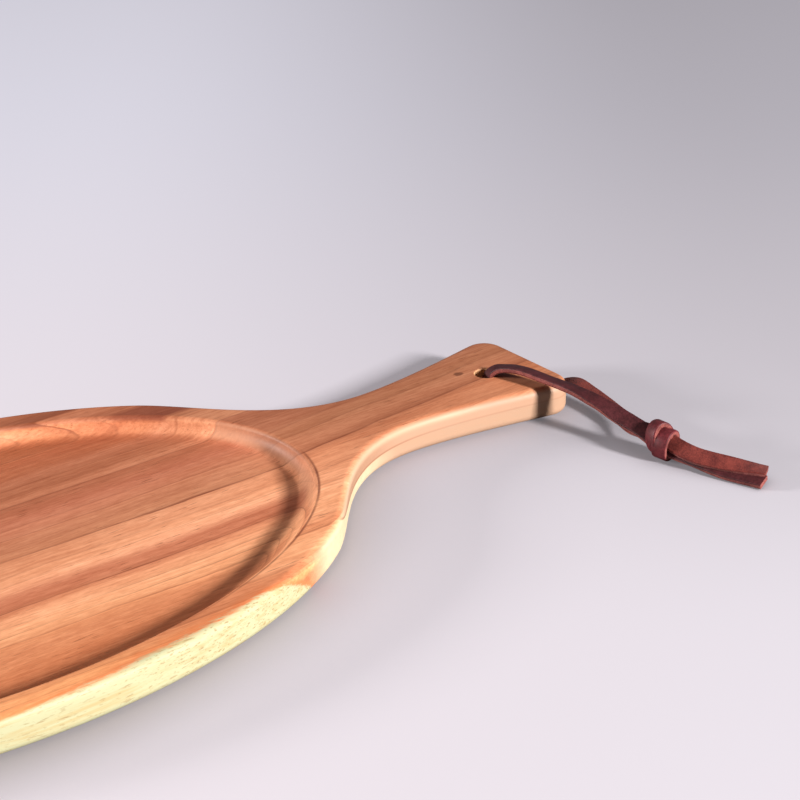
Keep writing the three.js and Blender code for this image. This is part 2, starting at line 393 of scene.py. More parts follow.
@dataclass(frozen=True)
class WoodFinish:
    """Oiled fruitwood: growth bands, mottle, fibres, pores and ring lines.

    Growth bands run along X: `top` colours them on the rim and handle, `floor` on the dish floor. A ring line
    that shows at Y on the top lies deeper by `dip` for each millimetre further along Y, so it comes out
    elsewhere on the dish floor and on the edges. Past `lean_from` the lines run aslant.
    """

    name: str
    top: tuple[Band, ...]
    floor: tuple[Band, ...]
    changes: tuple[float, float]
    seam: float
    lines: tuple[tuple[float, float], ...]
    dip_at: float
    dip: float
    dip_change: float
    dip_least: float
    dip_most: float
    seed: float
    lean_from: float = 85.0
    lean: float = -0.092

    def spot(self, t: Tree) -> Spot:
        """Work out the figure's coordinates.

        Args:
            t: The material's tree.

        Returns:
            Place and figure at each point.
        """
        x, y, z = t.object_millimetres()
        grain = (t.math("ADD", x, self.seed), y, z)
        depth = t.math("MINIMUM", t.math("SUBTRACT", z, TOP_Z), 0.0)
        wander = t.total(
            t.sway(t.stretched(grain, 0.006, 0.02), 7.0),
            t.sway(t.stretched(grain, 0.022, 0.09), 3.0),
            t.sway(t.stretched(grain, 0.05, 0.35), 1.8, detail=4.0),
        )
        lean = t.math("MULTIPLY", t.math("MAXIMUM", t.math("SUBTRACT", x, self.lean_from), 0.0), self.lean)
        dip = t.math("MULTIPLY_ADD", t.math("SUBTRACT", y, self.dip_at), self.dip_change, self.dip)
        dip = t.math("MINIMUM", t.math("MAXIMUM", dip, self.dip_least), self.dip_most)
        level = t.math("ADD", y, wander)
        field = t.total(t.math("MULTIPLY", dip, depth), level, lean)
        fibre = t.noise(t.stretched((grain[0], level, z), 0.014, 0.85, 0.4), detail=6.0, rough=0.66)
        pore = t.smooth(t.noise(t.stretched(grain, 0.13, 1.5), detail=3.0, rough=0.55), 0.6, 0.7)
        normal = t.nodes.new("ShaderNodeNewGeometry").outputs["Normal"]
        facing = t.math("ABSOLUTE", t.node("ShaderNodeSeparateXYZ", normal).outputs[0])
        return Spot(x, y, z, grain, depth, level, field, fibre, pore, facing)

    def ground(self, t: Tree, s: Spot) -> Socket:
        """Colour the growth bands, the rim's and the floor's, lightened on the far wall by painted light.

        Args:
            t: The material's tree.
            s: Place and figure.

        Returns:
            The band colour.
        """
        top, floor = t.ramp(s.field, self.top), t.ramp(s.level, self.floor)
        colour = t.mix(t.smooth(s.depth, *self.changes), top, floor)
        # Painted light on the far wall: its colour is multiplied paler, as if more strongly lit.
        wall = t.math("MULTIPLY", t.smooth(s.depth, -6.3, -4.8), t.smooth(s.depth, -0.3, -1.6))
        lit_far_wall = t.math("MULTIPLY", wall, t.smooth(s.y, 8.0, 36.0))
        return t.mix(lit_far_wall, colour, FAR_WALL_PAINTED_LIGHT, "MULTIPLY")

    def marks(self, t: Tree, s: Spot, colour: Socket) -> Socket:
        """Add what only this stave shows; a plain stave shows nothing more."""
        return colour

    def texture(self, t: Tree, s: Spot, colour: Socket) -> Socket:
        """Lay mottle, streaks, fibres and pores over the bands.

        Args:
            t: The material's tree.
            s: Place and figure.
            colour: Band colour.

        Returns:
            The textured colour.
        """
        cloud = t.noise(t.stretched(s.grain, 0.028, 0.11), detail=4.0, rough=0.6)
        broad = t.noise(t.stretched((s.grain[0], s.level, s.z), 0.008, 0.19, 0.05), detail=4.0, rough=0.6)
        fine = t.noise(t.stretched(s.grain, 0.22, 1.25), detail=4.0, rough=0.7)
        layers = ((cloud, 0.16), (broad, 0.16), (s.fibre, 0.23), (fine, 0.23))
        shade = t.product(*(t.linear(value, 0.25, 0.75, 1.0 - swing, 1.0 + swing) for value, swing in layers))
        tint = t.vector(t.math("POWER", shade, 0.65), shade, t.math("POWER", shade, 1.2))
        colour = t.mix(1.0, colour, tint, "MULTIPLY")
        spread = t.noise(t.stretched((s.grain[0], s.field, s.z), 0.012, 0.07), detail=3.0)
        fleck = t.math("MULTIPLY_ADD", t.smooth(spread, 0.4, 0.66), 0.46, 0.08)
        return t.mix(t.math("MULTIPLY", s.pore, fleck), colour, PORE_TONE)

    def rings(self, t: Tree, s: Spot, colour: Socket) -> Socket:
        """Draw the ring lines, a crisp near side and a soft far side, and the glue line.

        Args:
            t: The material's tree.
            s: Place and figure.
            colour: Wood colour.

        Returns:
            The colour with its lines.
        """
        patchy = t.linear(t.noise(t.stretched(s.grain, 0.03, 0.06)), 0.3, 0.7, 0.4, 1.0)
        for place, strength in self.lines:
            soft, crisp = t.line(s.field, place, 0.7, 5.0), t.line(s.field, place, 0.5, 0.9)
            both = t.math("MULTIPLY_ADD", soft, 0.4, t.math("MULTIPLY", crisp, 0.6))
            colour = t.mix(t.product(both, patchy, strength), colour, RING_TONE)
        beside = t.math("ABSOLUTE", t.math("SUBTRACT", s.y, self.seam))
        joint = t.math("MULTIPLY", t.smooth(beside, 0.7, 0.1), t.linear(patchy, 0.4, 1.0, 0.1, 0.6))
        return t.mix(joint, colour, GLUE_TONE)

    def build(self) -> bpy.types.Material:
        """Make the material.

        Returns:
            The finished material.
        """
        t = Tree(self.name)
        s = self.spot(t)
        colour = self.rings(t, s, self.texture(t, s, self.ground(t, s)))
        t.put(t.shader.inputs["Base Color"], self.marks(t, s, colour))
        t.put(t.shader.inputs["Roughness"], t.linear(s.fibre, 0.2, 0.8, 0.6, 0.46))
        t.shader.inputs["IOR"].default_value = 1.46
        t.shader.inputs["Specular IOR Level"].default_value = 0.3
        height = t.math("MULTIPLY_ADD", s.fibre, 0.9, t.math("MULTIPLY", s.pore, -0.6))
        t.bump(height, strength=0.3, distance=0.14 * MM)
        return t.material


@dataclass(frozen=True)
class MainStaveWood(WoodFinish):
    """The wide stave: pale sapwood on its near edge, a deeper handle and marks round the dish's tip."""

    def marks(self, t: Tree, s: Spot, colour: Socket) -> Socket:
        """Add the handle's tone, the near edge, the dish's tip, the hole's wall and a pin knot.

        Args:
            t: The material's tree.
            s: Place and figure.
            colour: Wood colour.

        Returns:
            The marked colour.
        """
        streak = t.noise(t.stretched(s.grain, 0.016, 0.6), detail=4.0, rough=0.6)
        colour = self.handle_side(t, s, streak, self.handle_tone(t, s, colour))
        colour = self.dish_tip(t, s, self.sapwood(t, s, streak, colour))
        return self.pin_knot(t, s, self.hole_wall(t, s, colour))

    def handle_tone(self, t: Tree, s: Spot, colour: Socket) -> Socket:
        """Deepen the top along the handle, most of all on its near half.

        Args:
            t: The material's tree.
            s: Place and figure.
            colour: Wood colour.

        Returns:
            The deepened colour.
        """
        reach = t.math("MULTIPLY", t.smooth(s.x, 78.0, 128.0), t.smooth(s.z, 8.8, 11.2))
        tint = t.mix(t.smooth(s.field, -9.0, -15.0), HANDLE_TINT, HANDLE_NEAR_TINT)
        return t.mix(reach, colour, tint, "MULTIPLY")

    def handle_side(self, t: Tree, s: Spot, streak: Socket, colour: Socket) -> Socket:
        """Turn the near side pale pinkish along the neck and handle, with one ring line on it and a painted
        highlight along its upper edge round.

        Args:
            t: The material's tree.
            s: Place and figure.
            streak: Long streaks in the pale wood.
            colour: Heartwood colour.

        Returns:
            The colour with its pale side.
        """
        edge = t.curve(s.x, SIDE_EDGE, -100.0, 0.0)
        inset = t.math("SUBTRACT", t.math("MULTIPLY_ADD", s.depth, 1.2, s.y), edge)
        over = t.math("SUBTRACT", s.z, t.curve(s.x, SIDE_LINE, 0.0, 16.0))
        under = t.mix(t.smooth(s.x, 98.0, 126.0), seen(254, 232, 188, 1.3), seen(252, 202, 166, 1.85))
        above = t.mix(t.smooth(s.x, 104.0, 132.0), seen(250, 190, 152, 2.1), seen(252, 198, 163, 1.75))
        # Painted highlight: the upper side, toward its edge round, is painted paler.
        crest_highlight = t.mix(t.smooth(s.x, 146.0, 166.0), seen(254, 214, 176, 1.5), seen(254, 206, 172, 1.85))
        above = t.mix(t.smooth(s.z, 8.6, 11.4), above, crest_highlight)
        side = t.mix(t.smooth(over, 0.4, -0.4), above, under)
        side = t.mix(t.linear(streak, 0.3, 0.7, 0.0, 0.3), side, SIDE_STREAK_TONE)
        place = t.math("MULTIPLY", t.smooth(inset, 5.0, 1.4), t.smooth(s.x, 42.0, 58.0))
        colour = t.mix(place, colour, side)
        drawn = t.product(
            t.line(over, 0.0, 0.4, 0.7),
            t.smooth(s.x, 66.0, 72.0),
            t.smooth(inset, 4.0, 2.0),
            t.smooth(s.x, 150.0, 100.0, 0.2, 0.75),
        )
        return t.mix(drawn, colour, SIDE_LINE_TONE)

    def sapwood(self, t: Tree, s: Spot, streak: Socket, colour: Socket) -> Socket:
        """Lay pale dotted sapwood with a ragged reddish fringe along the oval's near edge.

        Args:
            t: The material's tree.
            s: Place and figure.
            streak: Long streaks in the pale wood.
            colour: Heartwood colour.

        Returns:
            The colour with its sapwood.
        """
        ragged = t.total(
            t.sway(t.stretched(s.grain, 0.1, 0.9), 5.0, detail=6.0),
            t.sway(t.stretched(s.grain, 0.3, 2.4), 4.5),
        )
        boundary = t.curve(s.x, SAPWOOD_EDGE, -110.0, 0.0)
        sap = t.math("SUBTRACT", t.math("MULTIPLY_ADD", s.depth, 2.0, s.y), boundary)
        sap = t.math("ADD", sap, ragged)
        outside = t.smooth(t.oval(s.x, s.y, RIM_OVAL), 0.985, 1.005)
        fringe = t.product(
            t.smooth(sap, -1.5, 0.6),
            t.smooth(sap, 0.6, 5.0, 1.0, 0.0),
            outside,
            t.smooth(s.x, 62.0, 40.0, 0.0, 0.7),
        )
        colour = t.mix(fringe, colour, FRINGE_TONE)
        pale = t.mix(t.smooth(streak, 0.4, 0.75), seen(246, 240, 190, 1.66), seen(244, 214, 152, 1.66))
        dots = t.smooth(t.noise(t.stretched(s.grain, 0.45, 1.7), detail=3.0), 0.585, 0.68)
        dots = t.math("MULTIPLY", dots, t.smooth(s.x, -80.0, 20.0, 0.25, 0.75))
        pale = t.mix(t.math("MAXIMUM", dots, t.math("MULTIPLY", s.pore, 0.55)), pale, SAPWOOD_DOT_TONE)
        return t.mix(t.math("MULTIPLY", t.smooth(sap, 1.4, -1.4), outside), colour, pale)

    def foot(self, t: Tree, s: Spot) -> Socket:
        """Measure how far up the near wall's foot a point lies, 0 where it starts and 1 on the wall."""
        start = t.linear(s.x, 46.0, 76.0, 0.893, 0.953)
        return t.math("DIVIDE", t.math("SUBTRACT", t.oval(s.x, s.y, RIM_OVAL), start), 0.05)

    def dish_tip(self, t: Tree, s: Spot, colour: Socket) -> Socket:
        """Grey the end grain of the dish's tip, paint shade along the near wall's foot and draw the rim's
        dark line.

        Args:
            t: The material's tree.
            s: Place and figure.
            colour: Wood colour.

        Returns:
            The marked colour.
        """
        blotch = t.noise(t.stretched((s.x, s.y, s.z), 0.06, 0.06), detail=4.0, rough=0.65)
        inside = t.smooth(t.oval(s.x, s.y, WALL_OVAL), 1.06, 1.02)
        end_grain = t.product(t.smooth(s.facing, 0.25, 0.75), inside, 0.7)
        grey = t.mix(t.smooth(s.y, 4.0, 18.0), seen(160, 110, 83), seen(206, 150, 117))
        colour = t.mix(end_grain, colour, grey)
        foot = self.foot(t, s)
        # Painted shade: blotchy darkening of the floor along the near wall's foot.
        foot_shade = t.product(
            t.smooth(foot, t.linear(s.x, 36.0, 48.0, 1.6, 0.55), t.linear(s.x, 36.0, 48.0, 1.1, 0.0)),
            t.smooth(foot, -1.0, -0.45),
            t.smooth(s.x, 10.0, 40.0),
            t.smooth(s.y, 0.0, -12.0),
            t.linear(blotch, 0.3, 0.7, 0.65, 1.0),
        )
        colour = t.mix(foot_shade, colour, FOOT_SHADE_TINT, "MULTIPLY")
        drawn = t.product(
            t.line(t.oval(s.x, s.y, RIM_OVAL), 0.999, 0.006, 0.007),
            t.smooth(s.x, -30.0, 46.0),
            t.smooth(s.y, -7.0, -13.0),
            t.linear(blotch, 0.3, 0.7, 0.5, 0.95),
        )
        return t.mix(drawn, colour, RIM_LINE_TONE)

    def hole_wall(self, t: Tree, s: Spot, colour: Socket) -> Socket:
        """Paint the wall of the thong's hole paler than the oiled top, as painted light on it.

        Args:
            t: The material's tree.
            s: Place and figure.
            colour: Wood colour.

        Returns:
            The marked colour.
        """
        out = t.math("SQRT", t.total(t.squared(s.x, HOLE_X, 1.0), t.squared(s.y, 0.0, 1.0)))
        # Painted light: the hole's wall is lightened.
        wall = t.math("MULTIPLY", t.smooth(out, 4.8, 4.4), t.smooth(s.z, TOP_Z, TOP_Z - 0.3))
        return t.mix(wall, colour, HOLE_WALL_LIGHT)

    def pin_knot(self, t: Tree, s: Spot, colour: Socket) -> Socket:
        """Set one small dark pin knot beside the thong's hole.

        Args:
            t: The material's tree.
            s: Place and figure.
            colour: Wood colour.

        Returns:
            The marked colour.
        """
        ragged = t.sway(t.stretched((s.x, s.y, s.z), 0.6, 0.6), 1.2)
        spot = t.smooth(t.total(t.squared(s.x, 169.6, 2.3), t.squared(s.y, 5.7, 1.7), ragged), 1.1, 0.3)
        return t.mix(t.math("MULTIPLY", spot, 0.7), colour, PIN_KNOT_TONE)


@dataclass(frozen=True)
class LeatherFinish:
    """One surface of the lace: smooth grain, napped flesh or a raw cut edge."""

    name: str
    dark: Colour
    light: Colour
    speck: float
    roughness: float
    nap: float
    sheen: float

    def build(self) -> bpy.types.Material:
        """Make the material.

        Returns:
            The finished material.
        """
        t = Tree(self.name)
        place = t.object_millimetres()
        blotch = t.noise(t.stretched(place, 0.22, 0.22), detail=3.0, rough=0.6)
        grain = t.noise(t.stretched(place, self.speck, self.speck), detail=4.0, rough=0.65)
        value = t.math("MULTIPLY_ADD", blotch, 0.45, t.math("MULTIPLY", grain, 0.55))
        t.put(t.shader.inputs["Base Color"], t.mix(t.smooth(value, 0.36, 0.66), self.dark, self.light))
        rough = t.linear(grain, 0.2, 0.8, self.roughness - 0.08, self.roughness + 0.08)
        t.put(t.shader.inputs["Roughness"], rough)
        t.shader.inputs["Specular IOR Level"].default_value = 0.25
        t.shader.inputs["Sheen Weight"].default_value = self.sheen
        t.shader.inputs["Sheen Roughness"].default_value = 0.5
        t.bump(grain, strength=0.5, distance=self.nap * MM)
        return t.material


CHERRY_NEAR = MainStaveWood(
    name="cherry_main_stave",
    top=(
        (-94.0, seen(246, 164, 106)),
        (-86.0, seen(248, 166, 110)),
        (-80.0, seen(216, 134, 90)),
        (-74.0, seen(220, 138, 95)),
        (-66.0, seen(248, 170, 122)),
        (-60.0, seen(252, 176, 127)),
        (-55.0, seen(234, 148, 103)),
        (-50.0, seen(236, 158, 114)),
        (-44.0, seen(253, 176, 129)),
        (-32.0, seen(246, 168, 124)),
        (-22.0, seen(232, 152, 110)),
        (-14.0, seen(222, 140, 99)),
        (-9.5, seen(200, 124, 88)),
        (-3.0, seen(206, 132, 96)),
        (3.0, seen(194, 123, 87)),
        (12.0, seen(188, 116, 84)),
        (24.0, seen(177, 106, 75)),
        (34.0, seen(186, 112, 80)),
    ),
    floor=(
        (-80.0, seen(202, 121, 79)),
        (-62.0, seen(206, 124, 82)),
        (-54.0, seen(218, 137, 94)),
        (-49.5, seen(236, 155, 108)),
        (-45.0, seen(252, 175, 126)),
        (-38.0, seen(250, 173, 127)),
        (-33.5, seen(228, 147, 105)),
        (-29.5, seen(204, 122, 87)),
        (-24.5, seen(208, 126, 91)),
        (-20.5, seen(247, 168, 126)),
        (-15.0, seen(245, 167, 123)),
        (-10.0, seen(226, 148, 107)),
        (-6.0, seen(230, 153, 112)),
        (-2.0, seen(217, 142, 103)),
        (1.5, seen(200, 127, 92)),
        (6.0, seen(200, 125, 90)),
        (10.0, seen(208, 130, 96)),
        (18.0, seen(199, 119, 88)),
        (26.0, seen(183, 107, 75)),
        (34.0, seen(186, 110, 78)),
    ),
    changes=(-3.0, -5.6),
    seam=28.3,
    lines=(
        (-10.3, 0.9),
        (1.6, 0.45),
        (8.0, 0.3),
        (-33.0, 0.3),
        (-56.5, 0.8),
        (-24.0, 0.25),
        (-71.0, 0.4),
        (-79.0, 0.5),
        (-84.5, 0.45),
        (19.0, 0.4),
    ),
    dip_at=-7.0,
    dip=1.25,
    dip_change=-0.11,
    dip_least=1.0,
    dip_most=5.5,
    seed=0.0,
)

CHERRY_FAR = WoodFinish(
    name="cherry_far_stave",
    top=(
        (26.0, seen(204, 132, 96)),
        (33.0, seen(202, 130, 94)),
        (42.5, seen(190, 118, 84)),
        (44.5, seen(142, 76, 54)),
        (54.5, seen(146, 78, 54)),
        (57.5, seen(184, 110, 78)),
        (62.0, seen(196, 120, 86)),
        (66.0, seen(190, 114, 80)),
        (68.0, seen(150, 84, 58)),
        (76.0, seen(186, 110, 76)),
        (96.0, seen(194, 118, 82)),
    ),
    floor=(
        (26.0, seen(190, 116, 84)),
        (30.0, seen(196, 121, 87)),
        (34.0, seen(178, 106, 74)),
        (39.0, seen(178, 105, 73)),
        (43.0, seen(188, 114, 82)),
        (47.0, seen(184, 106, 72)),
        (54.0, seen(180, 99, 66)),
        (62.0, seen(194, 113, 76)),
        (96.0, seen(200, 120, 84)),
    ),
    changes=(-0.8, -2.6),
    seam=28.3,
    lines=((40.6, 0.5), (58.0, 0.3), (67.0, 0.7), (78.0, 0.4)),
    dip_at=40.0,
    dip=-0.35,
    dip_change=-0.0675,
    dip_least=-2.5,
    dip_most=0.0,
    seed=431.0,
)

LACE_FINISHES = {
    LaceSide.GRAIN: LeatherFinish(
        "lace_grain", seen(56, 22, 24), seen(86, 37, 40), speck=1.4, roughness=0.55, nap=0.05, sheen=0.0
    ),
    LaceSide.FLESH: LeatherFinish(
        "lace_flesh", seen(84, 27, 24), seen(136, 58, 48), speck=2.6, roughness=0.95, nap=0.5, sheen=0.06
    ),
    LaceSide.CUT: LeatherFinish(
        "lace_cut_edge", seen(106, 52, 48), seen(160, 88, 80), speck=2.2, roughness=0.85, nap=0.2, sheen=0.05
    ),
    # Painted light: a lighter copy of the grain for the knot's turns.
    LaceSide.KNOT_LIT: LeatherFinish(
        "lace_knot_lit_grain",
        seen(75, 26, 29),
        seen(114, 43, 48),
        speck=1.4,
        roughness=0.5,
        nap=0.05,
        sheen=0.0,
    ),
}

SHARP_ANGLE = math.radians(38.0)
TINY = 1e-7


def clamp(share: float) -> float:
    """Keep a share between 0 and 1."""
    return min(max(share, 0.0), 1.0)


def ease(value: float, low: float, high: float) -> float:
    """Blend smoothly from 0 at low to 1 at high."""
    share = clamp((value - low) / (high - low))
    return share * share * (3.0 - 2.0 * share)


def carry(bm: bmesh.types.BMesh, x: float, z: float = 0.0) -> None:
    """Move a whole bmesh along X and up, in millimetres."""
    bmesh.ops.translate(bm, verts=bm.verts, vec=(x * MM, 0.0, z * MM))


def mesh_object(
    name: str, bm: bmesh.types.BMesh, materials: Sequence[bpy.types.Material]
) -> bpy.types.Object:
    """Turn a bmesh into an object at the origin, shaded smooth with crisp corners kept.

    Args:
        name: Name of the object.
        bm: The bmesh, which is freed.
        materials: Materials in slot order.

    Returns:
        The new object.
    """
    mesh = bpy.data.meshes.new(name)
    bm.to_mesh(mesh)
    bm.free()
    for material in materials:
        mesh.materials.append(material)
    mesh.shade_smooth()
    mesh.set_sharp_from_angle(angle=SHARP_ANGLE)
    obj = bpy.data.objects.new(name, mesh)
    bpy.context.collection.objects.link(obj)
    return obj


@dataclass
class Board:
    """The two glued staves: outline, edge round, dish, hole and finger hollow. Millimetres.

    The cove's fields say where the dish's foot runs wide: the turns round the dish, in degrees, between which
    it starts and ends, where it is widest, and how much narrower it gets over so many degrees on each side.
    """

    length: float = 400.0
    body_length: float = 300.0
    body_width: float = 183.0
    thickness: float = 12.5
    edge_round: float = 3.0
    neck_angle: float = math.radians(40.0)
    neck_pull: float = 20.3
    waist_width: float = 31.7
    waist_from_end: float = 68.8
    waist_pull_body: float = 35.0
    waist_pull_end: float = 20.5
    end_width: float = 51.5
    flare: float = math.radians(7.5)
    flare_pull: float = 5.3
    corner_radius: float = 8.3
    rim_at_ends: float = 11.5
    rim_at_sides: float = 9.0
    dish_depth: float = 6.4
    dish_wall: float = 6.6
    dish_roll: float = 1.6
    dish_apron: float = 5.2
    cove_starts: tuple[float, float] = (-90.0, -62.0)
    cove_ends: tuple[float, float] = (-9.0, -16.0)
    cove_widest_at: float = -42.0
    cove_width: float = 11.2
    cove_toward_tip: tuple[float, float] = (5.0, 27.0)
    cove_toward_side: tuple[float, float] = (3.8, -20.0)
    cove_rim: float = 0.6
    cove_curve: float = 1.6
    glue_line: float = 28.3
    hole_diameter: float = 8.0
    hole_from_end: float = 22.0
    hole_ease: float = 0.7
    hollow_length: float = 35.0
    hollow_width: float = 39.0
    hollow_depth: float = 2.9
    hollow_wall: float = 4.0
    hollow_roll: float = 1.4

    @property
    def body_centre(self) -> float:
        """X of the middle of the oval."""
        return (self.body_length - self.length) / 2.0

    @property
    def hole_x(self) -> float:
        """X of the thong's hole."""
        return self.length / 2.0 - self.hole_from_end

    def handle_side(self) -> list[Vector]:
        """Trace one side of the handle from the oval to the rounded corner of its end.

        Returns:
            Points in the plane, in millimetres.
        """
        a, b = self.body_length / 2.0, self.body_width / 2.0
        leave = Vector((self.body_centre + a * math.cos(self.neck_angle), b * math.sin(self.neck_angle)))
        run = Vector((a * math.sin(self.neck_angle), -b * math.cos(self.neck_angle)))
        run = run.normalized() * self.neck_pull
        waist = Vector((self.length / 2.0 - self.waist_from_end, self.waist_width / 2.0))
        along = Vector((math.cos(self.flare), math.sin(self.flare)))
        reach = self.corner_radius * math.tan((math.pi / 2.0 + self.flare) / 2.0)
        corner = Vector((self.length / 2.0, self.end_width / 2.0))
        turn = corner - along * reach
        pull_body = Vector((waist.x - self.waist_pull_body, waist.y))
        pull_end = Vector((waist.x + self.waist_pull_end, waist.y))
        neck_points, flare_points, corner_steps = 48, 40, 16
        points = list(interpolate_bezier(leave, leave + run, pull_body, waist, neck_points))
        bend = turn - along * self.flare_pull
        points += list(interpolate_bezier(waist, pull_end, bend, turn, flare_points))[1:]
        centre = Vector((self.length / 2.0 - self.corner_radius, corner.y - reach))
        start = math.pi / 2.0 + self.flare
        for i in range(1, corner_steps + 1):
            angle = start * (1.0 - i / corner_steps)
            points.append(centre + Vector((math.cos(angle), math.sin(angle))) * self.corner_radius)
        return points

    def outline(self) -> list[Vector]:
        """Trace the whole outline, counter-clockwise.

        Returns:
            Points in the plane, in millimetres.
        """
        a, b = self.body_length / 2.0, self.body_width / 2.0
        steps = 220
        points = []
        for i in range(steps):
            angle = self.neck_angle + (2.0 * math.pi - 2.0 * self.neck_angle) * i / steps
            points.append(Vector((self.body_centre + a * math.cos(angle), b * math.sin(angle))))
        side = self.handle_side()
        points += [Vector((p.x, -p.y)) for p in side]
        points += list(reversed(side[1:]))
        return points

    def blank(self) -> bmesh.types.BMesh:
        """Extrude the outline and round both its edges over.

        Returns:
            The board before any cut.
        """
        bm = bmesh.new()
        verts = [bm.verts.new((p.x * MM, p.y * MM, 0.0)) for p in self.outline()]
        base = bm.faces.new(verts)
        raised = bmesh.ops.extrude_face_region(bm, geom=[base], use_keep_orig=True)
        tops = [v for v in raised["geom"] if isinstance(v, bmesh.types.BMVert)]
        bmesh.ops.translate(bm, verts=tops, vec=(0.0, 0.0, self.thickness * MM))
        bmesh.ops.recalc_face_normals(bm, faces=bm.faces)
        edges = [e for e in bm.edges if abs(e.verts[0].co.z - e.verts[1].co.z) < TINY]
        bmesh.ops.bevel(
            bm,
            geom=edges,
            offset=self.edge_round * MM,
            offset_type="OFFSET",
            affect="EDGES",
            segments=8,
            profile=0.5,
            material=-1,
            clamp_overlap=False,
        )
        return bm

    def foot_lift(self, angle: float, inset: float, height: float) -> float:
        """Raise the foot of the dish's wall on the near side of its tip, where the cove runs wide.

        Args:
            angle: Direction round the dish, in radians from +X.
            inset: Distance in from the rim.
            height: Height over the floor.

        Returns:
            How much higher the point goes, in millimetres.
        """
        turn = math.degrees(angle)
        place = ease(turn, *self.cove_starts) * ease(turn, *self.cove_ends)
        start = self.cove_width
        for narrower, degrees in (self.cove_toward_tip, self.cove_toward_side):
            start -= narrower * clamp((turn - self.cove_widest_at) / degrees)
        climb = clamp((start - inset) / (start - self.cove_rim))
        return place * max(self.dish_depth * climb**self.cove_curve - height, 0.0)

    def turned(
        self,
        profile: Profile,
        steps: int,
        extra: float,
        lift: Callable[[float, float, float], float] | None = None,
    ) -> bmesh.types.BMesh:
        """Spin a profile into a closed cutter and lengthen its rings along X.

        Args:
            profile: Radius and height of each point, in millimetres, from axis to axis.
            steps: Facets round the cutter.
            extra: How much longer than wide each ring's half is, in millimetres.
            lift: Gives how far a point is raised, from its angle, radius and height.

        Returns:
            The cutter.
        """
        bm = bmesh.new()
        verts = [bm.verts.new((r * MM, 0.0, z * MM)) for r, z in profile]
        edges = [bm.edges.new(pair) for pair in zip(verts, verts[1:])]
        bmesh.ops.spin(
            bm,
            geom=verts + edges,
            cent=(0.0, 0.0, 0.0),
            axis=(0.0, 0.0, 1.0),
            angle=2.0 * math.pi,
            steps=steps,
            use_merge=True,
        )
        bmesh.ops.remove_doubles(bm, verts=bm.verts, dist=TINY)
        for vert in bm.verts:
            radius = math.hypot(vert.co.x, vert.co.y)
            if radius > TINY:
                if lift:
                    vert.co.z += lift(math.atan2(vert.co.y, vert.co.x), radius / MM, vert.co.z / MM) * MM
                vert.co.x *= 1.0 + extra * MM / radius
        bmesh.ops.recalc_face_normals(bm, faces=bm.faces)
        return bm

    @staticmethod
    def dish_profile(half: float, depth: float, wall: float, roll: float, apron: float = 0.0) -> Profile:
        """Draw a dish's half section: level floor, cove, roll and a straight run above the rim.

        Args:
            half: Half width at the rim.
            depth: Depth of the floor.
            wall: Width of the wall in plan.
            roll: Radius of the roll over the rim.
            apron: Width of the floor's ringed strip by the wall.

        Returns:
            Radius and height of each point, in millimetres.
        """
        apron_steps, cove_steps, roll_steps, over = 9, 14, 12, 2.0
        slope = 2.0 * math.atan2(depth, wall)
        cove = wall / math.sin(slope) - roll
        points = [(0.0, -depth)]
        if apron:
            points += [(half - wall - apron * (1.0 - i / apron_steps), -depth) for i in range(apron_steps)]
        for i in range(cove_steps + 1):
            angle = slope * i / cove_steps
            points.append((half - wall + cove * math.sin(angle), -depth + cove * (1.0 - math.cos(angle))))
        for i in range(roll_steps - 1, -1, -1):
            angle = slope * i / roll_steps
            points.append((half - roll * math.sin(angle), -roll * (1.0 - math.cos(angle))))
        return points + [(half, over), (0.0, over)]

    def dish_cutter(self) -> bmesh.types.BMesh:
        """Make the dish as a cutting solid.

        Returns:
            The cutter in its place.
        """
        rim = self.body_width / 2.0 - self.rim_at_sides
        extra = self.body_length / 2.0 - self.rim_at_ends - rim

        def lift(angle: float, radius: float, height: float) -> float:
            """Raise a point of the dish's foot."""
            return self.foot_lift(angle, rim - radius, height + self.dish_depth)

        profile = self.dish_profile(rim, self.dish_depth, self.dish_wall, self.dish_roll, self.dish_apron)
        dish = self.turned(profile, steps=288, extra=extra, lift=lift)
        carry(dish, self.body_centre, self.thickness)
        return dish

    def hollow_cutter(self) -> bmesh.types.BMesh:
        """Make the finger hollow under the handle's end as a cutting solid.

        Returns:
            The cutter in its place.
        """
        half = self.hollow_width / 2.0
        profile = self.dish_profile(half, self.hollow_depth, self.hollow_wall, self.hollow_roll)
        hollow = self.turned(profile, steps=120, extra=self.hollow_length - half)
        bmesh.ops.rotate(hollow, verts=hollow.verts, cent=(0, 0, 0), matrix=Matrix.Rotation(math.pi, 3, "X"))
        carry(hollow, self.length / 2.0)
        return hollow

    def hole_cutter(self) -> bmesh.types.BMesh:
        """Make the thong's hole, eased at both its mouths, as a cutting solid.

        Returns:
            The cutter in its place.
        """
        r, soft, top, low = self.hole_diameter / 2.0, self.hole_ease, self.thickness, self.hollow_depth
        mouth_steps, over = 6, 1.0
        angles = [math.pi / 2.0 * i / mouth_steps for i in range(mouth_steps + 1)]
        mouth = [(r + soft * (1.0 - math.sin(a)), soft * (1.0 - math.cos(a))) for a in angles]
        profile = [(0.0, -over), (r + soft, -over)]
        profile += [(radius, low + depth) for radius, depth in mouth]
        profile += [(radius, top - depth) for radius, depth in reversed(mouth)]
        profile += [(r + soft, top + over), (0.0, top + over)]
        hole = self.turned(profile, steps=64, extra=0.0)
        carry(hole, self.hole_x)
        return hole

